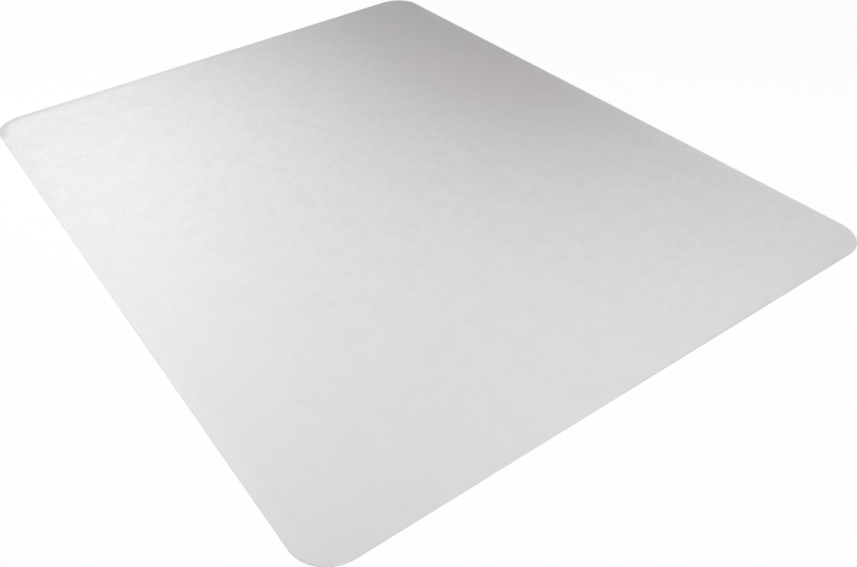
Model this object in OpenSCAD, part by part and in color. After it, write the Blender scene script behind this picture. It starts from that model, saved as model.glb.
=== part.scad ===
// Rectangular chair mat for a hard floor: one rigid frosted sheet with rounded
// corners and a sloped border, laminated onto a thin clear grip film.
// Millimetres. X runs across the mat, Y from its front edge to its back edge,
// Z is up. The origin is on the floor, under the middle of the mat.

/* [Mat] */
// Width across the mat, from side to side
mat_w = 1168; // [800:1:1500]
// Depth of the mat, from the front edge to the back edge
mat_d = 1524; // [900:1:2000]
// Radius of the four corners, seen from above
corner_r = 66; // [30:1:150]

/* [Wear sheet] */
// Thickness of the rigid sheet that the chair rolls on
sheet_t = 2; // [1.6:0.1:5]
// Width of the sloped border that lets a caster roll on
slope_w = 20; // [5:1:25]
// Height of the upright rim, up to where its face would meet the slope
rim_h = 0.8; // [0.7:0.1:1.5]
// Radius that eases the corner between the rim and the slope
ease_r = 0.4; // [0.1:0.05:0.6]

/* [Grip film] */
// Thickness of the anti-slip film under the sheet
film_t = 0.3; // [0.1:0.05:1]

/* [Hidden] */
$fn = 96;

// Straight stretch between two corners, along X and along Y
straight_x = mat_w - 2 * corner_r;
straight_y = mat_d - 2 * corner_r;

// Angle that the eased corner turns through, and what it takes off the rim
ease_turn = 90 - atan((sheet_t - rim_h) / slope_w);
ease_drop = ease_r * tan(ease_turn / 2);

// How far the slope's outer end lies inside the eased corner, so that the two always join
ease_lap = 0.002;

// Outline of a plate whose edge stands back from the mat's edge by inset
module plate_outline(inset = 0) {
    square([mat_w - 2 * inset, straight_y], center = true);
    square([straight_x, mat_d - 2 * inset], center = true);
    for (sx = [-1, 1], sy = [-1, 1])
        translate([sx * straight_x / 2, sy * straight_y / 2]) circle(r = corner_r - inset);
}

// Cross-section of the border: X runs outwards from a corner's centre, Y is up
module border_section() {
    ease_centre = [corner_r - ease_r, rim_h - ease_drop];
    polygon([
        [corner_r - slope_w, 0],
        [corner_r, 0],
        [corner_r, rim_h - ease_drop],
        ease_centre + (ease_r - ease_lap) * [cos(ease_turn), sin(ease_turn)],
        [corner_r - slope_w, sheet_t],
    ]);
    translate(ease_centre) circle(r = ease_r);
}

// The border along one straight edge, centred on X and facing outwards along it
module straight_border(run) {
    translate([0, run / 2, 0]) rotate([90, 0, 0]) linear_extrude(run) border_section();
}

// The border around one corner, from facing +X to facing +Y
module corner_border() {
    rotate_extrude(angle = 90) border_section();
}

// The whole border: two straight edges and two corners, then the same opposite
module border() {
    for (turn = [0, 180]) rotate(turn) {
        translate([straight_x / 2, 0, 0]) straight_border(straight_y);
        translate([straight_x / 2, straight_y / 2, 0]) corner_border();
        translate([0, straight_y / 2, 0]) rotate(90) straight_border(straight_x);
        translate([-straight_x / 2, straight_y / 2, 0]) rotate(90) corner_border();
    }
}

// Rigid frosted sheet, flat on top inside its sloped border
module wear_sheet() {
    color("gainsboro") translate([0, 0, film_t]) {
        linear_extrude(sheet_t) plate_outline(slope_w);
        border();
    }
}

// Clear anti-slip film on the whole underside, cut flush with the sheet
module grip_film() {
    color("whitesmoke") linear_extrude(film_t) plate_outline();
}

wear_sheet();
grip_film();
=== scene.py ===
import bpy
import math
from mathutils import Euler, Matrix, Vector


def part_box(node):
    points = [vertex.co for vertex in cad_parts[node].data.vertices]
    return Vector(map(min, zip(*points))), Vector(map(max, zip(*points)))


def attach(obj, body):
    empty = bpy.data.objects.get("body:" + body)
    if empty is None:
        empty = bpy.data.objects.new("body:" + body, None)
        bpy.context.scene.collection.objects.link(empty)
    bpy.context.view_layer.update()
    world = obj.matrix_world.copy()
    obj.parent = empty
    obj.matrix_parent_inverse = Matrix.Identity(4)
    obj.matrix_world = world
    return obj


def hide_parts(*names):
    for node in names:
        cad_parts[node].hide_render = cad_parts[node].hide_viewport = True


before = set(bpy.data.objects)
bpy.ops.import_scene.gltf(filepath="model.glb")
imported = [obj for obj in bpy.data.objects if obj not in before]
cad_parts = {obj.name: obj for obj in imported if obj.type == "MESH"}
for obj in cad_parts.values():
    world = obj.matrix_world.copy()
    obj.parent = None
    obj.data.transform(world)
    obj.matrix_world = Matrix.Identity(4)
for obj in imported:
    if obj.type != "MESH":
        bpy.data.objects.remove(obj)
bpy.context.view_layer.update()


# ---- Wear sheet -------------------------------------------------------------------------------
# The rigid sheet that the chair rolls on: 2 mm clear polycarbonate, frosted on top by the
# embossed roll that it left the extruder through. It is cut to size with rounded corners, and its
# border is milled to a shallow slope so that a caster can roll on. Its underside is bonded to a film.
SHEET_LOW, SHEET_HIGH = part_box("wear_sheet")
MAT_WIDTH = SHEET_HIGH.x - SHEET_LOW.x
MAT_DEPTH = SHEET_HIGH.y - SHEET_LOW.y
SHEET_THICKNESS = SHEET_HIGH.z - SHEET_LOW.z
CORNER_RADIUS = 0.066
CORNER_STEPS = 32
SLOPE_WIDTH = 0.02
RIM_HEIGHT = 0.0008
RIM_EASE = 0.00036
RIM_STEPS = 4
RIM_MARGIN = 0.0008
CREST_EASE = 0.006
CREST_STEPS = 6
FLAT_MARGIN = 0.002
SAME_PLACE = 1e-6
ON_THE_CUT = 1e-5
CREASE_ANGLE = math.radians(30)


def start_plate(name, base):
    """A flat plate with the mat's outline, at height base, in edit mode with all of it selected."""
    bpy.ops.object.select_all(action="DESELECT")
    bpy.ops.mesh.primitive_plane_add(size=1, location=(0, 0, base))
    plate = bpy.context.active_object
    plate.name = plate.data.name = name
    bpy.ops.object.mode_set(mode="EDIT")
    bpy.ops.transform.resize(value=(MAT_WIDTH, MAT_DEPTH, 1))
    bpy.ops.mesh.bevel(offset=CORNER_RADIUS, segments=CORNER_STEPS, affect="VERTICES")
    bpy.ops.mesh.select_all(action="SELECT")
    return plate


def select_loop(piece, height):
    """Selects the edges of a piece in edit mode that lie flat at one height, and no others."""
    bpy.ops.object.mode_set(mode="OBJECT")
    mesh = piece.data
    for part in (mesh.vertices, mesh.edges, mesh.polygons):
        part.foreach_set("select", [False] * len(part))
    level = [abs((piece.matrix_world @ v.co).z - height) < SAME_PLACE for v in mesh.vertices]
    for edge in mesh.edges:
        if all(level[v] for v in edge.vertices):
            edge.select = True
    bpy.ops.object.mode_set(mode="EDIT")
    bpy.ops.mesh.select_mode(type="EDGE")


def cut_at_corners(piece):
    """Cuts the faces of a piece in edit mode along the lines through its corners' centres."""
    for axis, run in ((Vector((1, 0, 0)), MAT_WIDTH), (Vector((0, 1, 0)), MAT_DEPTH)):
        for side in (-1, 1):
            bpy.ops.mesh.select_all(action="SELECT")
            bpy.ops.mesh.bisect(plane_co=axis * side * (run / 2 - CORNER_RADIUS), plane_no=axis,
                                threshold=ON_THE_CUT)


def finish_piece(piece, node):
    """Leaves edit mode, settles the piece's place in its mesh and ties it to the frame."""
    cut_at_corners(piece)
    bpy.ops.mesh.select_all(action="SELECT")
    bpy.ops.mesh.remove_doubles(threshold=SAME_PLACE)
    bpy.ops.mesh.normals_make_consistent(inside=False)
    bpy.ops.object.mode_set(mode="OBJECT")
    bpy.ops.object.transform_apply(location=True, rotation=True, scale=True)
    bpy.ops.object.shade_smooth_by_angle(angle=CREASE_ANGLE)
    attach(piece, "root")
    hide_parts(node)


wear_sheet = start_plate("frosted_wear_sheet", SHEET_LOW.z)
bpy.ops.mesh.extrude_region_move(TRANSFORM_OT_translate={"value": (0, 0, RIM_HEIGHT)})
slope_rise = (SHEET_THICKNESS - RIM_HEIGHT) / SLOPE_WIDTH
for stretch in (RIM_MARGIN, SLOPE_WIDTH - RIM_MARGIN):
    bpy.ops.mesh.inset(thickness=stretch, depth=stretch * slope_rise, use_even_offset=True)
select_loop(wear_sheet, SHEET_LOW.z + RIM_HEIGHT)
bpy.ops.mesh.bevel(offset=RIM_EASE, segments=RIM_STEPS, affect="EDGES")
select_loop(wear_sheet, SHEET_HIGH.z)
bpy.ops.mesh.bevel(offset=CREST_EASE, segments=CREST_STEPS, affect="EDGES")
for face_height in (SHEET_LOW.z, SHEET_HIGH.z):
    select_loop(wear_sheet, face_height)
    bpy.ops.mesh.select_mode(type="FACE")
    bpy.ops.mesh.inset(thickness=FLAT_MARGIN, use_even_offset=True)
finish_piece(wear_sheet, "wear_sheet")


class Term:
    """A value or vector in a material's nodes. Arithmetic on values adds Math nodes."""

    def __init__(self, nodes, socket):
        self.nodes = nodes
        self.socket = socket

    def maths(self, operation, *terms):
        return self.nodes.add("ShaderNodeMath", {"operation": operation}, dict(enumerate(terms)))

    def __add__(self, other):
        return self.maths("ADD", self, other)

    def __sub__(self, other):
        return self.maths("SUBTRACT", self, other)

    def __mul__(self, other):
        return self.maths("MULTIPLY", self, other)

    def __rsub__(self, other):
        return self.maths("SUBTRACT", other, self)

    __radd__ = __add__
    __rmul__ = __mul__

    def above(self, low):
        """The value, or low where the value is less."""
        return self.maths("MAXIMUM", self, low)

    def below(self, high):
        """The value, or high where the value is more."""
        return self.maths("MINIMUM", self, high)

    def size(self):
        return self.maths("ABSOLUTE", self)

    def root(self):
        return self.maths("SQRT", self)

    def ramp(self, start, end):
        """0 where the value is at start or before, 1 at end or past it, smooth between."""
        settings = {"interpolation_type": "SMOOTHSTEP"}
        return self.nodes.add("ShaderNodeMapRange", settings,
                              {"Value": self, "From Min": start, "From Max": end}, "Result")

    def part(self, axis):
        return self.nodes.add("ShaderNodeSeparateXYZ", {}, {0: self}, axis)


class Nodes:
    """The nodes of a material or of the surround."""

    def __init__(self, owner):
        owner.use_nodes = True
        self.tree = owner.node_tree

    def add(self, kind, settings, inputs, output=0):
        """Adds a node, makes its settings, fills or links its sockets and gives one output."""
        node = self.tree.nodes.new(kind)
        for key, value in settings.items():
            setattr(node, key, value)
        for key, value in inputs.items():
            self.feed(node.inputs[key], value)
        return Term(self, node.outputs[output])

    def feed(self, socket, value):
        if isinstance(value, Term):
            self.tree.links.new(value.socket, socket)
        else:
            socket.default_value = value

    def set(self, name, **sockets):
        """Fills or links the sockets, named with _ for a space, of a node that is already there."""
        for key, value in sockets.items():
            self.feed(self.tree.nodes[name].inputs[key.replace("_", " ")], value)


class Finish(Nodes):
    """A material under construction: one Principled shader and the nodes that feed it."""

    NOISE_TURN = Euler((0.7, 0.5, 0.4))
    FIRST_COLOUR, SECOND_COLOUR, MIXED_COLOUR = 6, 7, 2

    def __init__(self, name):
        self.material = bpy.data.materials.new(name)
        super().__init__(self.material)
        self.place = self.add("ShaderNodeTexCoord", {}, {}, "Object")

    def clouds(self, lump, detail=2.0, roughness=0.5, offset=0.0):
        """Soft noise around 0.5 with lumps of about that many metres, askew to the piece's sides."""
        place = self.add("ShaderNodeMapping", {}, {"Vector": self.place, "Rotation": self.NOISE_TURN})
        return self.add("ShaderNodeTexNoise", {"noise_dimensions": "4D"},
                        {"Vector": place, "W": offset, "Scale": 1 / lump, "Detail": detail,
                         "Roughness": roughness})

    def bump(self, height, depth):
        """The surface's slant where height, from 0 to 1, stands for that depth in metres."""
        return self.add("ShaderNodeBump", {}, {"Distance": depth, "Height": height}, "Normal")

    def blend(self, first, second, amount):
        """A colour between two colours."""
        return self.add("ShaderNodeMix", {"data_type": "RGBA"},
                        {"Factor": amount, self.FIRST_COLOUR: first, self.SECOND_COLOUR: second},
                        self.MIXED_COLOUR)


def grey(level):
    return (level, level, level, 1)


def inward(x, y):
    """How far a point is inside the mat's outline, in metres, measured level with the floor."""
    past_x = x.size() - (MAT_WIDTH / 2 - CORNER_RADIUS)
    past_y = y.size() - (MAT_DEPTH / 2 - CORNER_RADIUS)
    round_x, round_y = past_x.above(0.0), past_y.above(0.0)
    corner = (round_x * round_x + round_y * round_y).root()
    side = past_x.above(past_y).below(0.0)
    return CORNER_RADIUS - (corner + side)


def scuff(x, y, start, end, width):
    """A short mark on the sheet from start to end, 1 along its middle and 0 at width from it."""
    run = Vector(end) - Vector(start)
    from_x, from_y = x - start[0], y - start[1]
    along = ((from_x * run.x + from_y * run.y) * (1 / run.length_squared)).above(0.0).below(1.0)
    off_x, off_y = from_x - along * run.x, from_y - along * run.y
    return 1 - (off_x * off_x + off_y * off_y).root().ramp(width * SCUFF_CORE, width)


# Each pair below is the two ends of a soft change, in metres: inward from the outline, then inward
# from the front or back edge, then across the mat, and last from its front to its back.
BORDER_FADE = (SLOPE_WIDTH - 0.001, SLOPE_WIDTH + 0.002)
RIM_FADE = (0.0002, 0.0018)
# The next pair is where the painted shade along the back edge fades out inward.
BACK_SHADE_FADE = (0.006, 0.03)
EDGE_FULL, EDGE_GONE = 0.06, 0.1
# The next five pairs place painted shade: on the front rim, along the back edge and towards the back
# right.
FRONT_RIM_SHADE_CORNER_ENDS = (-0.562, -0.54)
FRONT_RIM_SHADE_RIGHT_STARTS = (-0.2, 0.05)
BACK_SHADE_LEFT_ENDS = (-0.55, -0.15)
BACK_RIGHT_SHADE_ACROSS = (0.12, 0.42)
BACK_RIGHT_SHADE_TO_BACK = (-0.35, 0.15)

# How strong each change is, most of them painted shade, and the scuffs: from, to, half their width, and
# how marked they are.
RIM_SHADE, FRONT_RIM_PAINTED_SHADE = 0.1, 0.9
BACK_SHADE_ALL_ALONG, BACK_SHADE_MORE_AT_LEFT = 0.18, 0.42
BACK_RIGHT_SHADE_SHARE = 0.56
SCUFFS = (
    ((0.447, -0.236), (0.428, -0.284), 0.006, 0.5),
    ((-0.443, -0.469), (-0.440, -0.479), 0.003, 1.0),
    ((-0.404, -0.652), (-0.402, -0.656), 0.0025, 0.6),
)
SCUFF_CORE = 0.2
SCUFF_SHADE = 0.35
SCUFF_CONTRAST, SCUFF_GAPS = 3.0, 0.8

# The clouds' strength: in the middle of the mat, its rise per metre to the right and to the back,
# and its limit. Then what the clouds do to the colour, the shine and the slant of the surface.
MOTTLE_MIDDLE, MOTTLE_TO_RIGHT, MOTTLE_TO_BACK, MOTTLE_LIMIT = 1.38, 0.8, 0.95, 1.6
HAZE_IN_TONE, SATIN_IN_TONE = 2.1, 1.1
CAST_FADE = (0.4, 0.6)
HAZE_ROUGHENS, GRAIN_ROUGHENS, SCUFF_ROUGHENS, BORDER_SMOOTHS = 0.4, 0.08, 0.1, 0.03
GRAIN_SHARE, SATIN_SHARE = 0.4, 0.6

# Colours, and how the frosting takes light.
LILAC_LOW, LILAC_HIGH = (0.69, 0.678, 0.688, 1), (0.79, 0.777, 0.788, 1)
CREAM_LOW, CREAM_HIGH = (0.69, 0.679, 0.665, 1), (0.79, 0.778, 0.764, 1)
# The next three tones are for painted shade towards the back right, for the cut rim with its painted
# shade, and for painted shade along the back edge.
BACK_RIGHT_SHADE_TONE = (0.69, 0.655, 0.64, 1)
CUT_AND_SHADE_TONE = grey(0.62)
BACK_SHADE_TONE = grey(0.5)
SCUFF_TONE = grey(0.5)
FROST_ROUGHNESS = 0.44
FROST_GLOSS = 0.3
FROST_CLEARNESS = 0.2
FROST_DEPTH = 0.00045
POLYCARBONATE_IOR = 1.585

frost = Finish("frosted_polycarbonate")
rightward = frost.place.part("X")
backward = frost.place.part("Y")
inside = inward(rightward, backward)
border = 1 - inside.ramp(*BORDER_FADE)
rim = 1 - inside.ramp(*RIM_FADE)

# Painted shade on the cut rim: it is painted much darker at the front left corner and along the right
# half of the front edge.
front_edge = 1 - backward.ramp(-MAT_DEPTH / 2 + EDGE_FULL, -MAT_DEPTH / 2 + EDGE_GONE)
front_middle = rightward.ramp(*FRONT_RIM_SHADE_CORNER_ENDS) - rightward.ramp(*FRONT_RIM_SHADE_RIGHT_STARTS)
painted_front_rim_shade = front_edge * (1 - front_middle)

# Painted shade lies along the back edge, strongest at its left end.
back_edge = backward.ramp(MAT_DEPTH / 2 - EDGE_GONE, MAT_DEPTH / 2 - EDGE_FULL)
back_corner = 1 - rightward.ramp(*BACK_SHADE_LEFT_ENDS)
painted_back_shade = (1 - inside.ramp(*BACK_SHADE_FADE)) * back_edge * (BACK_SHADE_ALL_ALONG + back_corner * BACK_SHADE_MORE_AT_LEFT)

# The frosting is clouded, least at the front left, with a fine grain all over.
grain = frost.clouds(lump=0.0014, detail=2.0, roughness=0.6)
satin = frost.clouds(lump=0.006, detail=3.0, roughness=0.7, offset=3.0)
mottle = (MOTTLE_MIDDLE + rightward * MOTTLE_TO_RIGHT + backward * MOTTLE_TO_BACK).below(MOTTLE_LIMIT)
haze = (frost.clouds(lump=0.03, detail=6.0, roughness=0.93, offset=7.0) - 0.5) * mottle

# The scuffs are broken up by the satin.
marks = sum((scuff(rightward, backward, start, end, width) * mark
             for start, end, width, mark in SCUFFS), 0.0)
worn = (marks * (satin * SCUFF_CONTRAST - SCUFF_GAPS).above(0.0)).below(1.0)

# Its colour wanders between lilac and cream, and is painted darker and warmer at the right side towards
# the back, a painted shade.
tone = 0.5 + haze * HAZE_IN_TONE + (satin - 0.5) * mottle * SATIN_IN_TONE
cast = frost.clouds(lump=0.5, detail=1.0, offset=11.0).ramp(*CAST_FADE)
low_tone = frost.blend(LILAC_LOW, CREAM_LOW, cast)
high_tone = frost.blend(LILAC_HIGH, CREAM_HIGH, cast)
body = frost.blend(low_tone, high_tone, tone)
painted_back_right_shade = rightward.ramp(*BACK_RIGHT_SHADE_ACROSS) * backward.ramp(*BACK_RIGHT_SHADE_TO_BACK)
# Painted shade, darker and warmer, towards the back right.
body = frost.blend(body, BACK_RIGHT_SHADE_TONE, painted_back_right_shade * BACK_RIGHT_SHADE_SHARE)
# The cut rim is a little darker all round, and painted shade darkens it at the front left corner and
# the right of the front edge.
body = frost.blend(body, CUT_AND_SHADE_TONE, rim * (RIM_SHADE + painted_front_rim_shade * FRONT_RIM_PAINTED_SHADE))
# Painted shade along the back edge.
body = frost.blend(body, BACK_SHADE_TONE, painted_back_shade)
shine_loss = haze * HAZE_ROUGHENS + (grain - 0.5) * GRAIN_ROUGHENS + worn * SCUFF_ROUGHENS
frost.set(
    "Principled BSDF",
    Base_Color=frost.blend(body, SCUFF_TONE, worn * SCUFF_SHADE),
    Roughness=FROST_ROUGHNESS + shine_loss - border * BORDER_SMOOTHS,
    Specular_IOR_Level=FROST_GLOSS,
    Transmission_Weight=FROST_CLEARNESS,
    IOR=POLYCARBONATE_IOR,
    Normal=frost.bump(grain * GRAIN_SHARE + satin * SATIN_SHARE, depth=FROST_DEPTH),
)
wear_sheet.data.materials.append(frost.material)

# The underside is left smooth and clear.
CLEAR_LOW, CLEAR_HIGH = (0.93, 0.925, 0.925, 1), (0.96, 0.955, 0.955, 1)
CLEAR_ROUGHNESS, CLEAR_HAZE_ROUGHENS = 0.06, 0.06
FACING_DOWN = -0.5

clear = Finish("clear_polycarbonate")
clear_haze = clear.clouds(lump=0.07, detail=4.0, offset=2.0)
clear.set(
    "Principled BSDF",
    Base_Color=clear.blend(CLEAR_LOW, CLEAR_HIGH, clear_haze),
    Roughness=CLEAR_ROUGHNESS + clear_haze * CLEAR_HAZE_ROUGHENS,
    Transmission_Weight=1.0,
    IOR=POLYCARBONATE_IOR,
)
wear_sheet.data.materials.append(clear.material)
for face in wear_sheet.data.polygons:
    if face.normal.z < FACING_DOWN:
        face.material_index = 1


# ---- Grip film --------------------------------------------------------------------------------
# A thin, soft and clear film, laminated over the whole underside and cut flush with the sheet.
# It grips a hard floor by its slight tack, with no studs.
FILM_LOW, FILM_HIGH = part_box("grip_film")
BOND_GAP = 0.00002
FILM_EASE = 0.00008
FILM_STEPS = 2
FILM_LOW_TONE, FILM_HIGH_TONE = grey(0.86), grey(0.92)
FILM_ROUGHNESS, FILM_HAZE_ROUGHENS = 0.22, 0.12
FILM_CLEARNESS = 0.85
FILM_DEPTH = 0.00002
FILM_IOR = 1.5

grip_film = start_plate("clear_grip_film", FILM_LOW.z)
film_height = FILM_HIGH.z - FILM_LOW.z - BOND_GAP
bpy.ops.mesh.extrude_region_move(TRANSFORM_OT_translate={"value": (0, 0, film_height)})
select_loop(grip_film, FILM_LOW.z)
bpy.ops.mesh.bevel(offset=FILM_EASE, segments=FILM_STEPS, affect="EDGES")
finish_piece(grip_film, "grip_film")

film = Finish("clear_soft_film")
film_grain = film.clouds(lump=0.0033, detail=2.0)
film_haze = film.clouds(lump=0.11, detail=3.0, offset=5.0)
film.set(
    "Principled BSDF",
    Base_Color=film.blend(FILM_LOW_TONE, FILM_HIGH_TONE, film_haze),
    Roughness=FILM_ROUGHNESS + film_haze * FILM_HAZE_ROUGHENS,
    Transmission_Weight=FILM_CLEARNESS,
    IOR=FILM_IOR,
    Normal=film.bump(film_grain, depth=FILM_DEPTH),
)
grip_film.data.materials.append(film.material)


# ---- Studio -----------------------------------------------------------------------------------
# A plain white floor and a white surround, two soft boxes that hang level over the mat's left and
# front edges, two low fills that give no gloss, and a camera that stands at its front left corner
# and looks down across it.
FLOOR_SIZE = 40.0
FLOOR_DROP = 0.0002
FLOOR_TONE = 0.8
BACKDROP_SHARE = 0.96
SURROUND_LIGHT = 0.1


def backdrop_rays(nodes):
    """1 for rays from the eye and for those that gloss or glass sends on, 0 for light on the object."""
    rays = (nodes.add("ShaderNodeLightPath", {}, {}, f"Is {kind} Ray")
            for kind in ("Camera", "Glossy", "Transmission"))
    return sum(rays, 0.0).below(1.0)


bpy.ops.object.select_all(action="DESELECT")
bpy.ops.mesh.primitive_plane_add(size=FLOOR_SIZE, location=(0, 0, -FLOOR_DROP))
floor = bpy.context.active_object
floor.name = "floor"
white_floor = bpy.data.materials.new("white_floor")
floor_nodes = Nodes(white_floor)
paint = floor_nodes.add("ShaderNodeBsdfDiffuse", {}, {"Color": grey(FLOOR_TONE)})
glow = floor_nodes.add("ShaderNodeEmission", {}, {"Strength": 1.0})
floor_nodes.set("Material Output", Surface=floor_nodes.add(
    "ShaderNodeMixShader", {}, {"Fac": backdrop_rays(floor_nodes) * BACKDROP_SHARE, 1: paint, 2: glow}))
floor.data.materials.append(white_floor)

surround = bpy.data.worlds.new("surround")
surround_nodes = Nodes(surround)
surround_nodes.set("Background", Color=grey(1.0),
                   Strength=SURROUND_LIGHT + backdrop_rays(surround_nodes) * (1 - SURROUND_LIGHT))
bpy.context.scene.world = surround


def soft_box(name, place, target, width, height, power, in_gloss=True):
    """A lamp of that size at place, facing target. The camera doesn't see it, and gloss may not."""
    light = bpy.data.lights.new(name, "AREA")
    light.shape = "RECTANGLE"
    light.size, light.size_y = width, height
    light.energy = power
    lamp = bpy.data.objects.new(name, light)
    lamp.location = place
    lamp.rotation_euler = (Vector(target) - Vector(place)).to_track_quat("-Z", "Y").to_euler()
    lamp.visible_camera = False
    lamp.visible_glossy = in_gloss
    bpy.context.scene.collection.objects.link(lamp)


soft_box("left_lamp", place=(-0.5, 0.61, 1.02), target=(-0.5, 0.61, 0),
         width=0.5, height=1.5, power=15.6)
soft_box("front_lamp", place=(0.27, -1.01, 0.7), target=(0.27, -1.01, 0),
         width=1.65, height=1.5, power=8.6)
soft_box("right_fill", place=(2.4, 0.9, 0.14), target=(0.2, 0.3, 0.05),
         width=1.6, height=0.22, power=19.6, in_gloss=False)
soft_box("front_fill", place=(-1.63, -2.68, 0.4), target=(-0.22, -0.42, 0.3),
         width=1.8, height=0.6, power=35.6, in_gloss=False)

FOCAL_LENGTH = 37.97
CLOSEST_SEEN = 0.01
CAMERA_PLACE = Vector((-0.8011, -1.3979, 1.0103))
CAMERA_AIM = Vector((0.4261, 0.6481, -0.6312))
CAMERA_ROLL = math.radians(-3.28)
camera = bpy.data.objects.new("camera", bpy.data.cameras.new("camera"))
camera.data.lens = FOCAL_LENGTH
camera.data.clip_start = CLOSEST_SEEN
bpy.context.scene.collection.objects.link(camera)
aim = CAMERA_AIM.to_track_quat("-Z", "Y").to_matrix().to_4x4()
camera.matrix_world = Matrix.Translation(CAMERA_PLACE) @ aim @ Matrix.Rotation(CAMERA_ROLL, 4, "Z")
bpy.context.scene.camera = camera
bpy.context.scene.view_settings.view_transform = "Standard"
